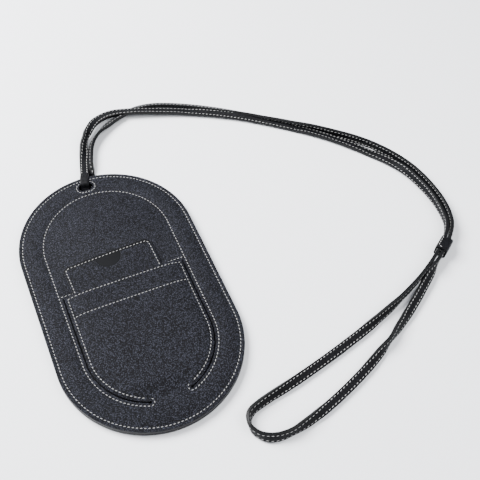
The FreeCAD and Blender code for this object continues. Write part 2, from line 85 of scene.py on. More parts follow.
# How far it leans, in degrees, at distances along it in metres: 0 is flat with its outer face up,
# -90 on edge with its outer face to the outside of the loop.
STRAP_LEAN = [
    (0.000, 0), (0.008, -52), (0.036, -58), (0.050, -30), (0.062, -26), (0.080, -30), (0.130, -32),
    (0.165, -50), (0.188, -62), (0.213, -88), (0.240, -95), (0.262, -96), (0.300, -94),
    (0.374, -90), (0.390, -25), (0.415, -12), (0.430, -50), (0.443, -82), (0.456, -40),
    (0.470, -12), (0.498, -8), (0.516, -50), (0.528, -76), (0.540, -62), (0.550, -85),
    (0.556, -103), (0.564, -118), (0.575, -128), (0.600, -155), (0.628, -174), (0.645, -166),
    (0.668, -122), (0.688, -96), (0.725, -88), (0.760, -90), (0.800, -66), (0.822, -12), (0.850, 9),
    (0.885, 9), (0.905, -14), (0.935, -32), (0.960, -14), (0.985, 6), (1.010, 10), (1.040, 0),
    (1.054, -30), (1.063, -72), (1.072, -44), (1.086, -8), (1.098, 0),
]
# STRAP_CLEAR lifts the whole strap a little off the floor.
STRAP_WIDE, STRAP_THICK, STRAP_CLEAR = 0.0060, 0.0022, 0.00025


def route_line(name, route):
    """The points that the smooth curve of a route passes."""
    curve = bpy.data.curves.new(name, "CURVE")
    curve.dimensions = "3D"
    curve.resolution_u = 12
    spline = curve.splines.new("NURBS")
    spline.points.add(len(route) - 1)
    for point, place in zip(spline.points, route):
        point.co = (*place, 1.0)
    spline.order_u = 3
    spline.use_endpoint_u = True
    holder = bpy.data.objects.new(name, curve)
    mesh = bpy.data.meshes.new_from_object(holder)
    line = [vertex.co.copy() for vertex in mesh.vertices]
    bpy.data.meshes.remove(mesh)
    bpy.data.objects.remove(holder)
    bpy.data.curves.remove(curve)
    return line


def distances(line):
    """How far along a line each of its points is."""
    steps = [(b - a).length for a, b in zip(line, line[1:])]
    return np.concatenate(([0.0], np.cumsum(steps)))


def eased(keys, at):
    """Values between keys (place, value), easing in and out of each key."""
    places, values = np.array(keys, float).T
    after = np.clip(np.searchsorted(places, at), 1, len(places) - 1)
    share = np.clip((at - places[after - 1]) / (places[after] - places[after - 1]), 0, 1)
    share = share * share * (3 - 2 * share)
    return values[after - 1] + (values[after] - values[after - 1]) * share


def headings(line):
    """The direction of a line at each of its points."""
    ends = [line[0] + (line[0] - line[1])] + list(line) + [line[-1] + (line[-1] - line[-2])]
    return [(after - before).normalized() for before, after in zip(ends, ends[2:])]


def ribbon(name, line, across, section, edge_from):
    """A flat strap along a line. Its section is a closed list of (across, out) places, and its
    faces beyond edge_from across are the painted edge, the second material."""
    mesh = bpy.data.meshes.new(name)
    rings = []
    for place, way, wide in zip(line, headings(line), across):
        out = way.cross(wide).normalized()
        rings.append([place + wide * w + out * n for w, n in section])
    count = len(section)
    points = [point for ring in rings for point in ring]
    faces = [[r * count + k, r * count + (k + 1) % count, (r + 1) * count + (k + 1) % count,
              (r + 1) * count + k] for r in range(len(rings) - 1) for k in range(count)]
    last = (len(rings) - 1) * count
    faces += [list(range(count))[::-1], [last + k for k in range(count)]]
    mesh.from_pydata(points, [], faces)
    piece = bpy.data.objects.new(name, mesh)
    bpy.context.collection.objects.link(piece)
    for face in mesh.polygons:
        k = face.index % count
        middle = (section[k][0] + section[(k + 1) % count][0]) / 2
        face.material_index = int(abs(middle) > edge_from or face.index >= len(faces) - 2)
    work = bmesh.new()
    work.from_mesh(mesh)
    bmesh.ops.recalc_face_normals(work, faces=work.faces)
    work.to_mesh(mesh)
    work.free()
    return piece


def alone(piece):
    """Selects one object and makes it active."""
    bpy.ops.object.select_all(action="DESELECT")
    piece.select_set(True)
    bpy.context.view_layer.objects.active = piece
    return piece


def smooth(piece, angle=32):
    """Shades a piece smooth but for its creases."""
    alone(piece)
    bpy.ops.object.shade_smooth_by_angle(angle=math.radians(angle))
    return piece


def whole_section(quarter):
    """A closed section from the quarter of it that lies to one side of both its middles."""
    half = quarter + [(-w, n) for w, n in quarter[::-1]]
    return half + [(-w, -n) for w, n in half]


# The route's heights are those of a strap on edge. Where it leans, it is let down until its
# underside is as low.
route = route_line("strap_route", STRAP_ROUTE)
along = distances(route)
lean = np.radians(eased(STRAP_LEAN, along))
strap_line, strap_across = [], []
for place, way, angle in zip(route, headings(route), lean):
    left = Vector((0, 0, 1)).cross(way).normalized()
    up = way.cross(left)
    strap_across.append(left * math.cos(angle) + up * math.sin(angle))
    rest = (abs(math.sin(angle)) * STRAP_WIDE + abs(math.cos(angle)) * STRAP_THICK) / 2
    strap_line.append(place - Vector((0, 0, STRAP_WIDE / 2 - STRAP_CLEAR - rest)))

# A quarter of its section: the rounded edge, then a face that the rows of stitches pull in.
quarter = [(0.00292, 0.00010), (0.00300, 0.00030), (0.00297, 0.00080), (0.00275, 0.00106),
           (0.00225, 0.00110), (0.00180, 0.00101), (0.00135, 0.00110), (0.00040, 0.00112)]
strap = ribbon("strap", strap_line, strap_across, whole_section(quarter), edge_from=0.0028)
smooth(strap, angle=50)


def paint(code):
    """An sRGB hex colour as linear red, green, blue and alpha."""
    parts = [int(code[k:k + 2], 16) / 255 for k in (1, 3, 5)]
    return (*[c / 12.92 if c <= 0.04045 else ((c + 0.055) / 1.055) ** 2.4 for c in parts], 1.0)


def feed(tree, node, links):
    """Feeds a node's inputs: each link is (input, socket or value)."""
    for name, source in links:
        if isinstance(source, bpy.types.NodeSocket):
            tree.links.new(source, node.inputs[name])
        else:
            node.inputs[name].default_value = source
    return node


def add_node(tree, kind, links=(), **settings):
    """Adds a node, sets its settings, and feeds its inputs."""
    made = tree.nodes.new(kind)
    for name, value in settings.items():
        setattr(made, name, value)
    return feed(tree, made, links)


def new_material(name):
    """An empty material with its shader: (material, tree, shader)."""
    material = bpy.data.materials.new(name)
    material.use_nodes = True
    return material, material.node_tree, material.node_tree.nodes["Principled BSDF"]


def grained_leather(name, crest, painted_crease_shade, grain_mm, relief_mm, roughness, painted_highlight):
    """Drum-dyed leather with a pebbled grain: pebbles of about grain_mm stand relief_mm proud of the
    creases between them. Some crests get small painted highlights, and the creases painted shade."""
    material, tree, shader = new_material(name)
    place = add_node(tree, "ShaderNodeTexCoord").outputs["Object"]
    wander = add_node(tree, "ShaderNodeTexNoise", [("Vector", place), ("Scale", 0.7e3 / grain_mm),
                                                   ("Detail", 2.0)])
    shift = add_node(tree, "ShaderNodeVectorMath", [(0, wander.outputs["Color"]),
                                                    (1, (0.5, 0.5, 0.5))], operation="SUBTRACT")
    reach = add_node(tree, "ShaderNodeVectorMath", [(0, shift.outputs[0]),
                                                    ("Scale", 1.1e-3 * grain_mm)], operation="SCALE")
    moved = add_node(tree, "ShaderNodeVectorMath", [(0, place), (1, reach.outputs[0])])
    cells = add_node(tree, "ShaderNodeTexVoronoi", [("Vector", moved.outputs[0]),
                                                    ("Scale", 1e3 / grain_mm)], feature="F1")
    walls = add_node(tree, "ShaderNodeTexVoronoi", [("Vector", moved.outputs[0]),
                                                    ("Scale", 1e3 / grain_mm)],
                     feature="DISTANCE_TO_EDGE")
    pebble = add_node(tree, "ShaderNodeMapRange", [("Value", walls.outputs["Distance"]),
                                                   ("From Min", 0.0), ("From Max", 0.30)],
                      interpolation_type="SMOOTHSTEP")
    pores = add_node(tree, "ShaderNodeTexNoise", [("Vector", place), ("Scale", 4e3 / grain_mm),
                                                  ("Detail", 3.0)])
    height = add_node(tree, "ShaderNodeMath", [(0, pebble.outputs[0]), (1, 0.75)],
                      operation="MULTIPLY")
    height = add_node(tree, "ShaderNodeMath", [(0, pores.outputs["Fac"]), (1, 0.25),
                                               (2, height.outputs[0])], operation="MULTIPLY_ADD")
    # Painted shade: the creases take the darker colour and the crests the lighter one.
    lit = add_node(tree, "ShaderNodeMix", [("Factor", pebble.outputs[0]), (6, paint(painted_crease_shade)),
                                           (7, paint(crest))], data_type="RGBA")
    # Painted highlight: a light fleck on the crown of some pebbles, where a glint would show.
    crown = add_node(tree, "ShaderNodeMapRange", [("Value", cells.outputs["Distance"]),
                                                  ("From Min", 0.60), ("From Max", 0.10)],
                     interpolation_type="SMOOTHSTEP")
    some = add_node(tree, "ShaderNodeSeparateColor", [("Color", cells.outputs["Color"])])
    few = add_node(tree, "ShaderNodeMapRange", [("Value", some.outputs[0]), ("To Min", 0.15),
                                                ("To Max", 1.0)])
    highlight_mask = add_node(tree, "ShaderNodeMath", [(0, few.outputs[0]), (1, crown.outputs[0])],
                     operation="MULTIPLY")
    highlighted = add_node(tree, "ShaderNodeMix", [("Factor", highlight_mask.outputs[0]), (6, lit.outputs[2]),
                                               (7, paint(painted_highlight))], data_type="RGBA")
    broad = add_node(tree, "ShaderNodeTexNoise", [("Vector", place), ("Scale", 45.0),
                                                  ("Detail", 2.0)])
    tone = add_node(tree, "ShaderNodeMapRange", [("Value", broad.outputs["Fac"]), ("To Min", 0.86),
                                                 ("To Max", 1.14)])
    toned = add_node(tree, "ShaderNodeVectorMath", [(0, highlighted.outputs[2]),
                                                    ("Scale", tone.outputs[0])], operation="SCALE")
    dull = add_node(tree, "ShaderNodeMapRange", [("Value", highlight_mask.outputs[0]),
                                                 ("To Min", roughness + 0.06),
                                                 ("To Max", roughness - 0.12)])
    bump = add_node(tree, "ShaderNodeBump", [("Height", height.outputs[0]), ("Strength", 1.0),
                                             ("Distance", relief_mm * 1e-3)])
    feed(tree, shader, [("Base Color", toned.outputs[0]), ("Roughness", dull.outputs[0]),
                        ("Normal", bump.outputs[0]), ("IOR", 1.5), ("Specular IOR Level", 0.08)])
    return material


# Strap calf, vegetable-tanned and boarded: a finer, flatter grain than the pouch's, with a soft
# gloss from the finish, faint painted highlights on its crests and painted shade in its creases.
strap_calf = grained_leather("boarded_strap_calf", "#08090b", "#030304", grain_mm=0.60,
                             relief_mm=0.080, roughness=0.50, painted_highlight="#1b1c22")


def edge_paint(name, colour, roughness):
    """Edge paint, several coats ironed on: an almost smooth, rounded, satin black film with the
    slight waviness that the hot iron leaves, about 3 mm long."""
    material, tree, shader = new_material(name)
    place = add_node(tree, "ShaderNodeTexCoord").outputs["Object"]
    wavy = add_node(tree, "ShaderNodeTexNoise", [("Vector", place), ("Scale", 330.0),
                                                 ("Detail", 2.0)])
    shade = add_node(tree, "ShaderNodeMix", [("Factor", wavy.outputs["Fac"]), (6, paint("#050506")),
                                             (7, paint(colour))], data_type="RGBA")
    bump = add_node(tree, "ShaderNodeBump", [("Height", wavy.outputs["Fac"]), ("Strength", 0.5),
                                             ("Distance", 0.00006)])
    gloss = add_node(tree, "ShaderNodeMapRange", [("Value", wavy.outputs["Fac"]),
                                                  ("To Min", roughness - 0.07),
                                                  ("To Max", roughness + 0.07)])
    feed(tree, shader, [("Base Color", shade.outputs[2]), ("Roughness", gloss.outputs[0]),
                        ("Normal", bump.outputs[0]), ("Specular IOR Level", 0.15)])
    return material


painted_edge = edge_paint("ironed_edge_paint", "#0e0f11", roughness=0.42)
strap.data.materials.append(strap_calf)
strap.data.materials.append(painted_edge)

# Its stitches are linen thread 0.4 mm thick, waxed and laid by hand at a pitch of 2.65 mm: short
# bars that lie slightly aslant in the row, each pulled down into the leather at both ends.
STITCH_SLANT = math.radians(9)


def stitch_bar(length, width, height):
    """One stitch, a bar that tapers to its two holes, along X."""
    bpy.ops.object.select_all(action="DESELECT")
    bpy.ops.mesh.primitive_uv_sphere_add(segments=8, ring_count=5, radius=0.5,
                                         rotation=(0, math.radians(90), 0),
                                         scale=(height, width, length))
    bpy.ops.object.transform_apply(location=True, rotation=True, scale=True)
    bpy.ops.object.shade_smooth()
    return bpy.context.object


def seat(middle, way, face):
    """Where a stitch sits: its middle, along its row but slightly aslant, and flat on its face."""
    side = face.cross(way).normalized()
    ahead = side.cross(face).normalized()
    turned = ahead * math.cos(STITCH_SLANT) + side * math.sin(STITCH_SLANT)
    turn = Matrix((turned, face.cross(turned), face)).transposed().to_4x4()
    return Matrix.Translation(middle) @ turn


def sew(name, bar, seats):
    """A row of stitches as one object: a copy of the bar on each seat."""
    bpy.ops.object.select_all(action="DESELECT")
    copies = []
    for place in seats:
        copy = bar.copy()
        copy.data = bar.data.copy()
        copy.matrix_world = place
        bpy.context.collection.objects.link(copy)
        copy.select_set(True)
        copies.append(copy)
    bpy.context.view_layer.objects.active = copies[0]
    bpy.ops.object.join()
    row = bpy.context.object
    row.name = row.data.name = name
    bpy.ops.object.transform_apply(location=True, rotation=True, scale=True)
    return row


def waxed_thread(name):
    """Waxed linen thread: off-white, matt with a faint wax sheen, its plies seen as slanting ridges
    along each stitch. They follow the stitch's own map, about three turns to a stitch."""
    material, tree, shader = new_material(name)
    ply = add_node(tree, "ShaderNodeUVMap").outputs["UV"]
    ridges = add_node(tree, "ShaderNodeTexWave", [("Vector", ply), ("Scale", 2.0),
                                                  ("Distortion", 0.6), ("Detail", 1.0)],
                      wave_type="BANDS", bands_direction="DIAGONAL")
    place = add_node(tree, "ShaderNodeTexCoord").outputs["Object"]
    age = add_node(tree, "ShaderNodeTexNoise", [("Vector", place), ("Scale", 260.0)])
    tint = add_node(tree, "ShaderNodeMix", [("Factor", age.outputs["Fac"]), (6, paint("#7a7b7d")),
                                            (7, paint("#b2b1ae"))], data_type="RGBA")
    ridge = add_node(tree, "ShaderNodeBump", [("Height", ridges.outputs["Fac"]), ("Strength", 0.6),
                                              ("Distance", 0.00008)])
    feed(tree, shader, [("Base Color", tint.outputs[2]), ("Normal", ridge.outputs[0]),
                        ("Roughness", 0.55), ("Sheen Weight", 0.2)])
    return material


linen_thread = waxed_thread("waxed_linen_thread")
strap_bar = stitch_bar(length=0.00160, width=0.00036, height=0.00024)
STRAP_PITCH, STRAP_ROW = 0.00265, 0.00180
FIRST_AT, LAST_BEFORE, LOOK_AHEAD = 0.0020, 0.0012, 0.0004
places, wides = np.array(strap_line), np.array(strap_across)
stitch_at = np.arange(FIRST_AT, along[-1] - LAST_BEFORE, STRAP_PITCH)


def between(values, at):
    """A list of vectors along the strap, read at other distances."""
    return [Vector(v) for v in zip(*[np.interp(at, along, values[:, k]) for k in range(3)])]


for label, face_side in (("outer", 1), ("inner", -1)):
    seats = []
    for middle, ahead, wide in zip(between(places, stitch_at),
                                   between(places, stitch_at + LOOK_AHEAD),
                                   between(wides, stitch_at)):
        way = (ahead - middle).normalized()
        face = way.cross(wide).normalized() * face_side
        for beside in (-STRAP_ROW, STRAP_ROW):
            seats.append(seat(middle + wide * beside + face * (STRAP_THICK / 2), way, face))
    row = sew(f"strap_stitching_{label}", strap_bar, seats)
    row.data.materials.append(linen_thread)
    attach(row, "pouch")

# The strap's thin end, a single 1.1 mm strip left unsewn: over the pouch's front edge, down
# through the slot, and out along the channel in the back to the strap's other end.
TAB_ROUTE = [
    (0.0030, 0.1004, 0.0038), (0.0024, 0.0982, 0.0048), (0.0015, 0.0958, 0.0061),
    (0.0008, 0.0935, 0.0062), (0.0002, 0.0906, 0.0061), (-0.0001, 0.0892, 0.0054),
    (-0.0003, 0.0886, 0.0030), (-0.0006, 0.0864, 0.0010), (0.0005, 0.0895, 0.0007),
    (0.0030, 0.0945, 0.0007), (0.0050, 0.0975, 0.0007), (0.0072, 0.1014, 0.0010),
]
WIDE_OVER_FRONT, WIDE_UNDER_BACK = Vector((-0.975, 0.225, 0)), Vector((-0.90, 0.43, 0))
tab_line = route_line("tab_route", TAB_ROUTE)
tab_across = [WIDE_OVER_FRONT.lerp(WIDE_UNDER_BACK, share).normalized()
              for share in distances(tab_line) / distances(tab_line)[-1]]
tab_quarter = [(0.00280, 0.00010), (0.00276, 0.00042), (0.00258, 0.00054), (0.00100, 0.00055)]
tab = ribbon("strap_tab_strip", tab_line, tab_across, whole_section(tab_quarter), edge_from=0.0026)
smooth(tab, angle=50)
tab.data.materials.append(strap_calf)
tab.data.materials.append(painted_edge)
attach(tab, "pouch")
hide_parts("strap_tab")

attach(strap, "pouch")
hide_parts("strap_outer_leather", "strap_inner_leather")

# ------------------------------------------------------------------ the keeper
# A strip of calf wrapped round both runs of the strap and sewn to itself, which slides along them.
# The seam is on its upper face, near one edge, and turns across it at one end.
KEEPER_AT, KEEPER_TURN = Vector((0.2004, -0.0475, 0.0047)), math.radians(214)
KEEPER_FRAME = Matrix.Translation(KEEPER_AT) @ Matrix.Rotation(KEEPER_TURN, 4, "Z")
KEEPER_SIZE, KEEPER_WALL = (0.0105, 0.0080, 0.0090), 0.0011


def edit(piece):
    """Opens a piece in edit mode with all of it selected, and gives its mesh."""
    alone(piece)
    bpy.ops.object.mode_set(mode="EDIT")
    bpy.ops.mesh.select_all(action="SELECT")
    return bmesh.from_edit_mesh(piece.data)


def pick(work, kind, test):
    """Selects the vertices, edges or faces that pass a test."""
    bpy.ops.mesh.select_all(action="DESELECT")
    bpy.context.tool_settings.mesh_select_mode = (kind == "verts", kind == "edges", kind == "faces")
    for part in getattr(work, kind):
        part.select_set(bool(test(part)))
    work.select_flush_mode()


def done(piece):
    """Leaves edit mode."""
    bpy.ops.object.mode_set(mode="OBJECT")
    return piece


def apply(piece, kind, **settings):
    """Adds a modifier with its settings and applies it."""
    alone(piece)
    modifier = piece.modifiers.new(kind.lower(), kind)
    for name, value in settings.items():
        setattr(modifier, name, value)
    bpy.ops.object.modifier_apply(modifier=modifier.name)
    return piece


bpy.ops.object.select_all(action="DESELECT")
bpy.ops.mesh.primitive_cube_add(size=1, scale=KEEPER_SIZE)
keeper = bpy.context.object
keeper.name = keeper.data.name = "keeper_sleeve"
bpy.ops.object.transform_apply(location=True, rotation=True, scale=True)
work = edit(keeper)
pick(work, "edges", lambda e: abs((e.verts[0].co - e.verts[1].co).normalized().x) > 0.9)
bpy.ops.mesh.bevel(offset=0.0016, segments=5)
pick(work, "faces", lambda f: abs(f.normal.x) > 0.9)
bpy.ops.mesh.delete(type="ONLY_FACE")
done(keeper)
apply(keeper, "SOLIDIFY", thickness=KEEPER_WALL, offset=-1.0)
apply(keeper, "BEVEL", width=0.00022, segments=3, limit_method="ANGLE",
      angle_limit=math.radians(50))
keeper.matrix_world = KEEPER_FRAME
alone(keeper)
bpy.ops.object.transform_apply(location=True, rotation=True, scale=True)
smooth(keeper, angle=40)
keeper.data.materials.append(strap_calf)
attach(keeper, "keeper")
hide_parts("keeper_wrap")

small_bar = stitch_bar(length=0.00150, width=0.00042, height=0.00032)
UP, DOWN = Vector((0, 0, 1)), Vector((0, 0, -1))
KEEPER_ROW, KEEPER_PITCH = (-0.0036, -0.0027, KEEPER_SIZE[2] / 2), 0.0021
KEEPER_LAST, KEEPER_LAST_WAY = Vector((0.0040, -0.0010, KEEPER_SIZE[2] / 2)), Vector((0.25, 1, 0))
seats = [seat(Vector((KEEPER_ROW[0] + step * KEEPER_PITCH, *KEEPER_ROW[1:])), Vector((1, 0, 0)),
              UP) for step in range(4)] + [seat(KEEPER_LAST, KEEPER_LAST_WAY, UP)]
keeper_row = sew("keeper_seam", small_bar, [KEEPER_FRAME @ place for place in seats])
keeper_row.data.materials.append(linen_thread)
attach(keeper_row, "keeper")
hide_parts("keeper_stitching")

# ------------------------------------------------------------------ the back of the pouch
# The outer leather of the back: a flat goatskin panel with half-round ends, its lower edge rounded
# and painted, with the strap's slot and the channel that lets the tab lie flush.
END_AT, PANEL_RADIUS = 0.0393, 0.0564
SLOT_AT, SLOT_LONG, SLOT_WIDE = 0.0875, 0.0098, 0.0058
CHANNEL_SIZE, CHANNEL_AT = (0.0064, 0.0200, 0.0040), (0.0042, 0.0957, 0.0008)


def stadium(name, radius, bottom, height):
    """A plate with straight sides and half-round ends: a disc whose halves are slid apart."""
    bpy.ops.object.select_all(action="DESELECT")
    bpy.ops.mesh.primitive_circle_add(vertices=126, radius=radius, fill_type="NGON",
                                      location=(0, 0, bottom))
    plate = bpy.context.object
    plate.name = plate.data.name = name
    bpy.ops.object.transform_apply(location=True)
    work = edit(plate)
    for end in (-1, 1):
        pick(work, "verts", lambda v: v.co.y * end > 0)
        bpy.ops.transform.translate(value=(0, end * END_AT, 0))
    bpy.ops.mesh.select_all(action="SELECT")
    bpy.ops.mesh.extrude_region_move(TRANSFORM_OT_translate={"value": (0, 0, height)})
    bpy.ops.mesh.select_all(action="SELECT")
    bpy.ops.mesh.normals_make_consistent(inside=False)
    return done(plate)


def slot_cutter(bottom, height):
    """A block with half-round ends that cuts the strap's slot."""
    bpy.ops.object.select_all(action="DESELECT")
    bpy.ops.mesh.primitive_cylinder_add(vertices=38, radius=SLOT_WIDE / 2, depth=height,
                                        location=(0, SLOT_AT, bottom + height / 2))
    cutter = bpy.context.object
    bpy.ops.object.transform_apply(location=True)
    work = edit(cutter)
    for end in (-1, 1):
        pick(work, "verts", lambda v: v.co.x * end > 1e-6)
        bpy.ops.transform.translate(value=(end * (SLOT_LONG / 2 - SLOT_WIDE / 2), 0, 0))
    return done(cutter)


def cut(piece, cutter):
    """Takes the cutter's shape out of a piece, and the cutter away."""
    apply(piece, "BOOLEAN", operation="DIFFERENCE", solver="EXACT", object=cutter)
    bpy.data.objects.remove(cutter)
    return piece


def groove(piece, face_up, rings):
    """Insets a plate's large face in steps of (inwards, down), the valley that a row of stitches
    pulls into the leather."""
    work = edit(piece)
    pick(work, "faces", lambda f: f.normal.z * face_up > 0.9 and len(f.verts) > 20)
    for inwards, down in rings:
        bpy.ops.mesh.inset(thickness=inwards, depth=-down, use_even_offset=True)
    return done(piece)


def round_rims(piece, width, segments, test=lambda e: True, angle=60):
    """Rounds the sharp edges that pass a test, as burnishing does."""
    work = edit(piece)
    sharp = math.cos(math.radians(angle))
    pick(work, "edges", lambda e: len(e.link_faces) == 2
         and e.link_faces[0].normal.dot(e.link_faces[1].normal) < sharp and test(e))
    bpy.ops.mesh.bevel(offset=width, segments=segments, clamp_overlap=True)
    return done(piece)


def paint_edges(piece, leather, film):
    """Leather on the faces that look up or down, edge paint on the walls."""
    piece.data.materials.clear()
    piece.data.materials.append(leather)
    piece.data.materials.append(film)
    for face in piece.data.polygons:
        face.material_index = int(abs(face.normal.z) < 0.55)
    return piece


# Goatskin, chrome-tanned and drum-dyed blue-black: hard round pebbles of about 0.8 mm, matt,
# with painted shade in the creases and a painted highlight on some of the crests.
pouch_goat = grained_leather("pebbled_goatskin", "#101116", "#020203", grain_mm=0.76,
                             relief_mm=0.22, roughness=0.52, painted_highlight="#3b3d48")
SEAM_GROOVE = [(0.00190, 0.0), (0.00028, 0.00016), (0.00044, 0.0), (0.00028, -0.00016)]

back = stadium("back_leather", PANEL_RADIUS, bottom=0.0, height=0.0014)
groove(back, -1, SEAM_GROOVE)
cut(back, slot_cutter(bottom=-0.001, height=0.004))
channel_way = Vector(STRAP_ROUTE[0]) - Vector((0.0000, 0.0880, 0))
bpy.ops.object.select_all(action="DESELECT")
bpy.ops.mesh.primitive_cube_add(size=1, scale=CHANNEL_SIZE, location=CHANNEL_AT,
                                rotation=(0, 0, math.atan2(channel_way.y, channel_way.x)
                                          - math.pi / 2))
cut(back, bpy.context.object)
round_rims(back, width=0.00045, segments=4, test=lambda e: max(v.co.z for v in e.verts) < 0.0002)
paint_edges(smooth(back), pouch_goat, painted_edge)
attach(back, "pouch")
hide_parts("back_panel")

# Its rows of stitches are the far side of the front's: one round the edge, one round the slot.
# The first lies sunk in its groove and the second within the leather, so that the pouch rests on
# leather and not on thread.
seam_bar = stitch_bar(length=0.00142, width=0.00038, height=0.00030)
SEAM_PITCH, EDGE_ROW = 0.00232, 0.0540
SLOT_PITCH, SLOT_ROW = 0.0020, 0.00135
BACK_THREAD_AT = 0.00024


def arc(middle, radius, start, finish, count=24):
    """Points on an arc, angles in degrees from +X."""
    angles = np.radians(np.linspace(start, finish, count))
    return [Vector((middle[0] + radius * math.cos(a), middle[1] + radius * math.sin(a), 0))
            for a in angles]


def ring_line(radius):
    """A closed row round the pouch, that far from its middle line."""
    return arc((0, END_AT), radius, 0, 180, 60) + arc((0, -END_AT), radius, 180, 360, 60)


def oval_line(grow):
    """A closed row round the strap's slot."""
    radius, half = SLOT_WIDE / 2 + grow, (SLOT_LONG - SLOT_WIDE) / 2
    return arc((half, SLOT_AT), radius, -90, 90) + arc((-half, SLOT_AT), radius, 90, 270)


def row_seats(line, pitch, face, height, closed=False):
    """Seats at an even pitch along a row. height gives the leather's height at a place."""
    line = line + line[:1] if closed else line
    track = np.array(line)
    far = distances(line)
    count = round(far[-1] / pitch)
    at = (np.arange(count) + 0.5) * far[-1] / count
    spots, nexts = ([Vector(p) for p in zip(*[np.interp(there, far, track[:, k])
                                              for k in range(3)])] for there in (at, at + 0.0002))
    seats = []
    for spot, ahead in zip(spots, nexts):
        spot.z, ahead.z = height(spot.x, spot.y), height(ahead.x, ahead.y)
        seats.append(seat(spot, (ahead - spot).normalized(), face(spot.x, spot.y)))
    return seats


def flat(height):
    """A level face at that height."""
    return lambda x, y: height


def facing(way):
    """A face that looks the same way all over."""
    return lambda x, y: way


back_seats = [s for line, pitch in ((ring_line(EDGE_ROW), SEAM_PITCH),
                                    (oval_line(SLOT_ROW), SLOT_PITCH))
              for s in row_seats(line, pitch, facing(DOWN), flat(BACK_THREAD_AT), True)]
# The stitches that the channel would cut through are left out.
back_seats = [s for s in back_seats if not (-0.0020 < s.translation.x < 0.0095
                                            and s.translation.y > 0.0900)]
back_row = sew("back_stitching", seam_bar, back_seats)
back_row.data.materials.append(linen_thread)
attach(back_row, "pouch")

# Inside the back lie a thin board, the leather ring round it, and the smooth calf that lines the
# pocket: cut flat by die and glued, so they stay as the frame has them.
def smooth_calf(name, light, dark, roughness):
    """Lining calf, shaved thin and plated smooth: almost no grain, fine pores 0.3 mm apart and a
    cloudy tone from the dye. Pressed fibre board looks alike but for its colour."""
    material, tree, shader = new_material(name)
    place = add_node(tree, "ShaderNodeTexCoord").outputs["Object"]
    pores = add_node(tree, "ShaderNodeTexVoronoi", [("Vector", place), ("Scale", 3300.0)])
    cloud = add_node(tree, "ShaderNodeTexNoise", [("Vector", place), ("Scale", 90.0),
                                                  ("Detail", 4.0)])
    tone = add_node(tree, "ShaderNodeMix", [("Factor", cloud.outputs["Fac"]), (6, paint(dark)),
                                            (7, paint(light))], data_type="RGBA")
    dull = add_node(tree, "ShaderNodeMapRange", [("Value", cloud.outputs["Fac"]),
                                                 ("To Min", roughness - 0.08),
                                                 ("To Max", roughness + 0.08)])
    bump = add_node(tree, "ShaderNodeBump", [("Height", pores.outputs["Distance"]),
                                             ("Strength", 0.4), ("Distance", 0.00003)])
    feed(tree, shader, [("Base Color", tone.outputs[2]), ("Roughness", dull.outputs[0]),
                        ("Normal", bump.outputs[0]), ("Specular IOR Level", 0.06)])
    return material


# Painted shade: the lining calf is black, and its colours are set darker still so that it looks
# shaded where it shows in the holder's thumb notch. The same calf lines the tongue and the pocket.
lining_calf_darkened_as_shade = smooth_calf("plated_lining_calf_darkened_as_shade", "#0b0c0f", "#040405", roughness=0.60)
fibre_board = smooth_calf("pressed_fibre_board", "#5b5248", "#463f38", roughness=0.85)
for name, material in (("back_lining", lining_calf_darkened_as_shade), ("front_lining", lining_calf_darkened_as_shade),
                       ("back_stiffener", fibre_board), ("back_edge_filler", painted_edge)):
    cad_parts[name].data.materials.clear()
    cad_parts[name].data.materials.append(material)

# The painted edge of the glued stack: the back half and the front half are each ironed to a bead,
# with a fine line between them where the halves were joined last.
BEAD_PROUD = 0.00012


def edge_bead(name, low, high):
    """A band of edge paint round the pouch, its rims rounded."""
    band = stadium(name, PANEL_RADIUS + BEAD_PROUD, low, high - low)
    work = edit(band)
    pick(work, "faces", lambda f: abs(f.normal.z) > 0.9)
    bpy.ops.mesh.delete(type="ONLY_FACE")
    done(band)
    apply(band, "SOLIDIFY", thickness=0.0008, offset=-1.0, use_even_offset=True)
    apply(band, "BEVEL", width=0.00042, segments=4, limit_method="ANGLE",
          angle_limit=math.radians(50))
    smooth(band, angle=50)
    band.data.materials.append(painted_edge)
    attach(band, "pouch")


edge_bead("edge_paint_back_half", low=0.00035, high=0.00286)
edge_bead("edge_paint_front_half", low=0.00294, high=0.00468)

# ------------------------------------------------------------------ the front of the pouch
# One goatskin panel. A U-shaped cut frees the tongue, a straight cut above it makes the mouth, and
# a punched hole ends each arm of the U so that it can't tear on.
FRONT_LOW, FRONT_TOP = 0.0036, 0.0050
CUT_OUTER, CUT_INNER = 0.0391, 0.0383
MOUTH_SILL, TONGUE_EDGE, BRIDGE_AT = 0.00751, 0.00671, -0.07604
SLIT_END, PUNCH_RADIUS = (0.0126, -0.0759), 0.0009
ARCH_GROOVE = [(0.01203, 0.0), (0.00025, 0.00012), (0.00046, 0.0), (0.00025, -0.00012)]
BRIDGE_HALF, BRIDGE_FROM, BRIDGE_TO = 0.0130, -0.0806, -0.0700

front = stadium("front_leather", PANEL_RADIUS, FRONT_LOW, FRONT_TOP - FRONT_LOW)
groove(front, 1, SEAM_GROOVE + ARCH_GROOVE)
# No row is sewn across the bridge, so the leather isn't pulled in there.
work = edit(front)
pick(work, "verts", lambda v: abs(v.co.x) < BRIDGE_HALF and BRIDGE_FROM < v.co.y < BRIDGE_TO
     and v.co.z > 0.0045)
for vertex in work.verts:
    if vertex.select:
        vertex.co.z = FRONT_TOP
done(front)
opening = stadium("opening_tool", CUT_OUTER, bottom=0.002, height=0.006)
edit(opening)
bpy.ops.mesh.bisect(plane_co=(0, MOUTH_SILL, 0), plane_no=(0, 1, 0), use_fill=True,
                    clear_outer=True)
bpy.ops.mesh.select_all(action="SELECT")
bpy.ops.mesh.bisect(plane_co=(0, BRIDGE_AT, 0), plane_no=(0, 1, 0), use_fill=True,
                    clear_inner=True)
done(opening)
cut(front, opening)
cut(front, slot_cutter(bottom=0.002, height=0.006))


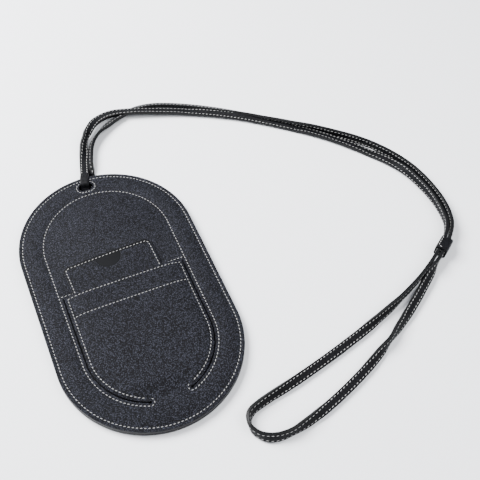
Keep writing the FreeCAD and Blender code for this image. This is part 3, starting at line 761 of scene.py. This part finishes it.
def punch(x, y, radius, low, high):
    """A round punch, to cut a hole with."""
    bpy.ops.object.select_all(action="DESELECT")
    bpy.ops.mesh.primitive_cylinder_add(vertices=24, radius=radius, depth=high - low,
                                        location=(x, y, (low + high) / 2))
    return bpy.context.object


for side in (-1, 1):
    cut(front, punch(side * SLIT_END[0], SLIT_END[1], PUNCH_RADIUS, low=0.002, high=0.008))
round_rims(front, width=0.00035, segments=3,
           test=lambda e: any(abs(v.co.y - BRIDGE_AT) >= 1e-5 for v in e.verts)
           and min(v.co.z for v in e.verts) > FRONT_TOP - 0.0003)
paint_edges(smooth(front), pouch_goat, painted_edge)
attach(front, "pouch")
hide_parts("front_panel")

# Its stitches: round the edge, round the slot, along the mouth's upper edge, and one row that
# starts beside one arm of the U, turns round its end, and goes over the arch to the other.
ARCH_ROW, TURN_RADIUS = 0.0410, 0.0023
MOUTH_ROW_HALF, MOUTH_ROW_AT = 0.0402, 0.0094
SLIT_ANGLE = math.degrees(math.atan2(SLIT_END[1] + END_AT, SLIT_END[0]))


def arch_line():
    """The row outside the U, with a small turn round each of its ends."""
    turn = arc(SLIT_END, TURN_RADIUS, SLIT_ANGLE + 180, SLIT_ANGLE + 360 - 6, 14)
    half = turn + arc((0, -END_AT), ARCH_ROW, SLIT_ANGLE + 1.0, 0, 30)
    mirrored = [Vector((-p.x, p.y, 0)) for p in half[::-1]]
    return half + arc((0, END_AT), ARCH_ROW, 0, 180, 60) + mirrored


mouth_line = [Vector((-MOUTH_ROW_HALF, MOUTH_ROW_AT, 0)), Vector((MOUTH_ROW_HALF, MOUTH_ROW_AT, 0))]
for name, line, pitch, height, closed, stands_for in (
        ("perimeter_stitches", ring_line(EDGE_ROW), SEAM_PITCH, 0.00490, True,
         "perimeter_stitching"),
        ("pocket_outline_stitches", arch_line(), SEAM_PITCH, 0.00494, False,
         "pocket_outline_stitching"),
        ("mouth_edge_stitches", mouth_line, SEAM_PITCH, 0.00502, False, "mouth_edge_stitching"),
        ("slot_stitches", oval_line(SLOT_ROW), SLOT_PITCH, 0.00502, True, "slot_stitching")):
    row = sew(name, seam_bar, row_seats(line, pitch, facing(UP), flat(height), closed))
    row.data.materials.append(linen_thread)
    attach(row, "pouch")
    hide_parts(stands_for)

# ------------------------------------------------------------------ the card holder
# Two leaves of thin goatskin with calf between them, sewn round three sides, open at the top with
# a thumb notch in the front leaf. It slides in the pouch's mouth and bows over what it holds.
HOLDER_TOP = Vector((-0.0044, 0.0291, 0.00593))
HOLDER_SKEW, HOLDER_TILT = math.radians(2.5), math.radians(1.805)
HOLDER_FRAME = (Matrix.Translation(HOLDER_TOP)
                @ (Matrix.Rotation(HOLDER_SKEW, 4, "Z") @ Matrix.Rotation(HOLDER_TILT, 4, "X")))
HOLDER_HALF, HOLDER_LONG, LEAF = 0.0290, 0.0890, 0.00055
LINING_LEVEL, FRONT_LEVEL, FRONT_DROP, NOTCH_RADIUS = 0.00056, 0.00112, 0.0028, 0.0084
# A leaf is divided into cells of that size, so that it can bow.
BOW_HIGH, CELL_WIDE, CELL_LONG = 0.0009, 0.0043, 0.0120


def bow(u, v):
    """How far the holder bows up at a place across and along it."""
    return BOW_HIGH * (1 - (u / HOLDER_HALF) ** 2) * (0.2 + 0.8 * max(0.0, 1 + v / HOLDER_LONG))


def holder_leaf(name, drop, level, notch, leather):
    """A leaf with rounded corners, bowed, and its top edge that far below the holder's top."""
    bpy.ops.object.select_all(action="DESELECT")
    bpy.ops.mesh.primitive_plane_add(size=1)
    piece = bpy.context.object
    piece.name = piece.data.name = name
    long = HOLDER_LONG - drop
    piece.scale = (2 * HOLDER_HALF, long, 1)
    piece.location = (0, -drop - long / 2, level)
    bpy.ops.object.transform_apply(location=True, scale=True)
    work = edit(piece)
    bpy.ops.mesh.bevel(offset=0.0035, segments=7, affect="VERTICES")
    bpy.ops.mesh.select_all(action="SELECT")
    bpy.ops.mesh.extrude_region_move(TRANSFORM_OT_translate={"value": (0, 0, LEAF)})
    bpy.ops.mesh.select_all(action="SELECT")
    bpy.ops.mesh.normals_make_consistent(inside=False)
    done(piece)
    if notch:
        cut(piece, punch(0.0, -drop, notch, low=-0.001, high=0.004))
    edit(piece)
    for k in range(-6, 7):
        bpy.ops.mesh.select_all(action="SELECT")
        bpy.ops.mesh.bisect(plane_co=(k * CELL_WIDE, 0, 0), plane_no=(1, 0, 0))
    for k in range(1, 8):
        bpy.ops.mesh.select_all(action="SELECT")
        bpy.ops.mesh.bisect(plane_co=(0, -k * CELL_LONG, 0), plane_no=(0, 1, 0))
    done(piece)
    for vertex in piece.data.vertices:
        vertex.co.z += bow(vertex.co.x, vertex.co.y)
    round_rims(piece, width=0.00016, segments=2)
    piece.data.transform(HOLDER_FRAME)
    return paint_edges(smooth(piece, angle=35), leather, painted_edge)


# The holder's goatskin is the pouch's, split thinner, so its pebbles are flatter.
# Like the pouch's, its creases carry painted shade and some crests a painted highlight.
holder_goat = grained_leather("split_goatskin", "#0e0f14", "#020203", grain_mm=0.72,
                              relief_mm=0.20, roughness=0.52, painted_highlight="#383a45")
# The inside leaf takes the lining calf that is darkened as painted shade for the thumb notch.
for name, drop, level, notch, leather, stands_for, slot_name in (
        ("holder_back", 0.0, 0.0, 0.0, holder_goat, "holder_back_leaf", "holder_leather"),
        ("holder_inside", 0.0, LINING_LEVEL, 0.0, lining_calf_darkened_as_shade, "holder_lining",
         "holder_lining_leather"),
        ("holder_front", FRONT_DROP, FRONT_LEVEL, NOTCH_RADIUS, holder_goat, "holder_front_leaf",
         "holder_leather")):
    piece = holder_leaf(name, drop, level, notch, leather)
    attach(piece, "card_holder")
    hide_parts(stands_for)

# Its stitches: one row all the way round, on the front leaf and, above its edge, on the lining.
side, foot, head, low_corner, high_corner = 0.0275, -0.0875, -0.0015, 0.0022, 0.0024
holder_row = (arc((-side + low_corner, foot + low_corner), low_corner, 180, 270, 8)
              + arc((side - low_corner, foot + low_corner), low_corner, 270, 360, 8)
              + arc((side - high_corner, head - high_corner), high_corner, 0, 90, 8)
              + arc((-side + high_corner, head - high_corner), high_corner, 90, 180, 8))


def holder_face(u, v):
    """Height of the leaf that the row lies on: the front leaf, or the lining above its edge."""
    return (LINING_LEVEL if v > -FRONT_DROP else FRONT_LEVEL) + LEAF + bow(u, v)


holder_seats = [HOLDER_FRAME @ place
                for place in row_seats(holder_row, SEAM_PITCH, facing(UP), holder_face, True)]
row = sew("holder_stitches", seam_bar, holder_seats)
row.data.materials.append(linen_thread)
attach(row, "card_holder")
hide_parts("holder_stitching")

# ------------------------------------------------------------------ the tongue
# The part of the front that the U frees: goatskin lined with calf, stiffened along its mouth with a
# thin strip, and hinged only on the uncut bridge. It drapes over the card holder in a low dome.
# Where each rise of its dome starts and over what length: off the bridge, over the holder's body,
# and at the lip of the mouth. Then how far these lift its edges, and its middle.
CLIMB, BODY, LIP = (BRIDGE_AT, 0.0125), (-0.0590, 0.0657), (-0.0250, 0.0317)
EDGE_CLIMB, EDGE_LIP = 0.00015, 0.0010
CROWN_CLIMB, CROWN_BODY, CROWN_LIP = 0.0022, 0.0011, 0.0017
DOME_SQUARE = 7
ROW_INSET, MOUTH_ROW, FACING_ROW, VALLEY_WIDE = 0.0019, 0.0049, -0.0083, 0.00055
THREAD_SUNK = 0.00006


def half_width(y):
    """Half the tongue's width: even, then round towards the bridge."""
    return CUT_INNER if y > -END_AT else math.sqrt(CUT_INNER ** 2 - (y + END_AT) ** 2)


def risen(y, rise):
    """How much of a rise (start, length) is behind that place, 0 to 1."""
    return min(max((y - rise[0]) / rise[1], 0), 1)


def drape(x, y):
    """Height of the tongue's outer face: level at the bridge, then a dome over the holder that is
    highest in the middle of the mouth and low along both arms of the U."""
    climb = risen(y, CLIMB)
    climb = climb * climb * (3 - 2 * climb)
    lip = risen(y, LIP) ** 2
    edge = FRONT_TOP + EDGE_CLIMB * climb + EDGE_LIP * lip
    crown = FRONT_TOP + CROWN_CLIMB * climb + CROWN_BODY * risen(y, BODY) + CROWN_LIP * lip
    return edge + (crown - edge) * (1 - min(abs(x) / half_width(y), 1) ** DOME_SQUARE)


def thread_height(x, y):
    """Height of the thread of a row on the tongue, sunk a little into the leather."""
    return drape(x, y) - THREAD_SUNK


def drape_face(x, y):
    """The way that the tongue's outer face looks at a place."""
    step = 0.0003
    slope_x = (drape(x + step, y) - drape(x - step, y)) / (2 * step)
    slope_y = (drape(x, y + step) - drape(x, y - step)) / (2 * step)
    return Vector((-slope_x, -slope_y, 1)).normalized()


def tongue_sheet(name, low, under, thick, columns, rows, valley=0.0):
    """A layer of the tongue from y = low to the mouth: a grid spread to the tongue's outline, laid
    that far under its outer face, pulled in along the rows of stitches, and given its thickness."""
    bpy.ops.object.select_all(action="DESELECT")
    bpy.ops.mesh.primitive_grid_add(x_subdivisions=columns, y_subdivisions=rows, size=2)
    piece = bpy.context.object
    piece.name = piece.data.name = name
    for vertex in piece.data.vertices:
        y = low + (vertex.co.y + 1) / 2 * (TONGUE_EDGE - low)
        x = vertex.co.x * half_width(y)
        z = drape(x, y) - under
        rim = CUT_INNER - (abs(x) if y > -END_AT else math.hypot(x, y + END_AT))
        for from_row in (rim - ROW_INSET, y - MOUTH_ROW, y - FACING_ROW):
            z -= valley * math.exp(-(from_row / VALLEY_WIDE) ** 2)
        vertex.co = (x, y, z)
    apply(piece, "SOLIDIFY", thickness=thick, offset=-1.0)
    return piece


# The edges at the bridge stay sharp, because the leather goes on there.
OFF_BRIDGE, FACING_DEEP = BRIDGE_AT + 1e-4, 0.017
tongue = tongue_sheet("tongue_leather", BRIDGE_AT, under=0.0, thick=0.0007, columns=110, rows=118,
                      valley=0.00012)
for side in (-1, 1):
    cut(tongue, punch(side * SLIT_END[0], SLIT_END[1], PUNCH_RADIUS, low=0.002, high=0.008))
round_rims(tongue, width=0.00020, segments=2,
           test=lambda e: any(v.co.y > OFF_BRIDGE for v in e.verts), angle=50)
paint_edges(smooth(tongue), pouch_goat, painted_edge)
lining = tongue_sheet("tongue_calf_lining", BRIDGE_AT, under=0.00071, thick=0.00034, columns=60,
                      rows=64)
strip = tongue_sheet("mouth_facing_strip", TONGUE_EDGE - FACING_DEEP, under=0.00106,
                     thick=0.00029, columns=60, rows=16)
for piece in (lining, strip):
    round_rims(piece, width=0.00010, segments=2, test=lambda e: e.verts[0].co.y > OFF_BRIDGE,
               angle=50)
    paint_edges(smooth(piece), lining_calf_darkened_as_shade, painted_edge)
for piece, stands_for, slot_name in ((tongue, "pocket_tongue", "tongue_leather"),
                                     (lining, "tongue_lining", "lining_leather"),
                                     (strip, "mouth_facing", "lining_leather")):
    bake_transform(piece)
    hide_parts(stands_for)

# Its stitches: a row up each side beside the cut and along the mouth, and a second one across it
# that holds the facing's lower edge.
ROW_AT, ROW_START = CUT_INNER - ROW_INSET, SLIT_ANGLE + 4.5
FACING_HALF = ROW_AT - 0.0006
right_side = (arc((0, -END_AT), ROW_AT, ROW_START, 0, 26)
              + [Vector((ROW_AT, MOUTH_ROW, 0)), Vector((0, MOUTH_ROW, 0))])
left_side = [Vector((-p.x, p.y, 0)) for p in right_side]
tongue_row = sew("tongue_stitches", seam_bar,
                 row_seats(right_side, SEAM_PITCH, drape_face, thread_height)
                 + row_seats(left_side, SEAM_PITCH, drape_face, thread_height))
across = [Vector((-FACING_HALF, FACING_ROW, 0)), Vector((FACING_HALF, FACING_ROW, 0))]
facing_row = sew("facing_stitches", seam_bar,
                 row_seats(across, SEAM_PITCH, drape_face, thread_height))
for row, stands_for in ((tongue_row, "tongue_stitching"), (facing_row, "facing_stitching")):
    row.data.materials.append(linen_thread)
    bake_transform(row)
    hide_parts(stands_for)
for bar in (strap_bar, small_bar, seam_bar):
    bpy.data.objects.remove(bar)

# ------------------------------------------------------------------ floor and light
# A pale matt sheet under the pouch, a large soft window light from its upper left, a weaker fill
# from the other side, and the glow of pale walls.
bpy.ops.object.select_all(action="DESELECT")
bpy.ops.mesh.primitive_plane_add(size=6, location=(0, 0, 0))
floor = bpy.context.object
floor.name = "floor"
sheet_paper, tree, shader = new_material("matt_backdrop_paper")
place = add_node(tree, "ShaderNodeTexCoord").outputs["Object"]
fibres = add_node(tree, "ShaderNodeTexNoise", [("Vector", place), ("Scale", 900.0)])
tint = add_node(tree, "ShaderNodeMix", [("Factor", fibres.outputs["Fac"]), (6, paint("#eaecf0")),
                                        (7, paint("#f2f3f6"))], data_type="RGBA")
feed(tree, shader, [("Base Color", tint.outputs[2]), ("Roughness", 0.9)])
floor.data.materials.append(sheet_paper)

LIGHT_AIM = Vector((0.05, 0.0, 0.0))
for name, spot, size, power in (("window", (-0.45, 0.55, 0.80), 0.65, 55.0),
                                ("fill", (0.60, -0.50, 0.90), 0.9, 16.0)):
    lamp = bpy.data.lights.new(name, "AREA")
    lamp.size, lamp.energy = size, power
    light = bpy.data.objects.new(name, lamp)
    bpy.context.collection.objects.link(light)
    light.location = spot
    light.rotation_euler = (LIGHT_AIM - Vector(spot)).to_track_quat("-Z", "Y").to_euler()
world = bpy.data.worlds.new("pale_room")
bpy.context.scene.world = world
world.use_nodes = True
feed(world.node_tree, world.node_tree.nodes["Background"],
     [("Color", paint("#e8ebf2")), ("Strength", 0.60)])
